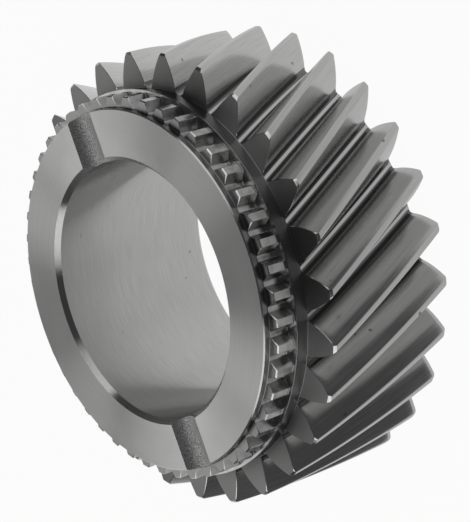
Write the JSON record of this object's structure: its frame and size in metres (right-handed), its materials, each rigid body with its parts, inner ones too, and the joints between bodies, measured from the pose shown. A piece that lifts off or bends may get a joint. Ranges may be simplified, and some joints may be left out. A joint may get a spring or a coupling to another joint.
{
  "type": "helical transmission gear",
  "caption": "Helical speed gear with a wide smooth bore, integral clutch dog teeth and a raised, grooved thrust face, for a manual gearbox shaft.",
  "frame": {"origin": "centre of the bore, in the plane of the flat back face that the gear stands on", "axes": "+Z along the bore axis, out of the thrust face; the two oil grooves lie along +Y and -Y"},
  "size_m": [0.097, 0.097, 0.0413],
  "materials": {
    "ground_steel": "satin ground and turned steel, with as-forged oil grooves"
  },
  "bodies": {
    "root": {"transmission_gear": "ground_steel"}
  },
  "joints": []
}
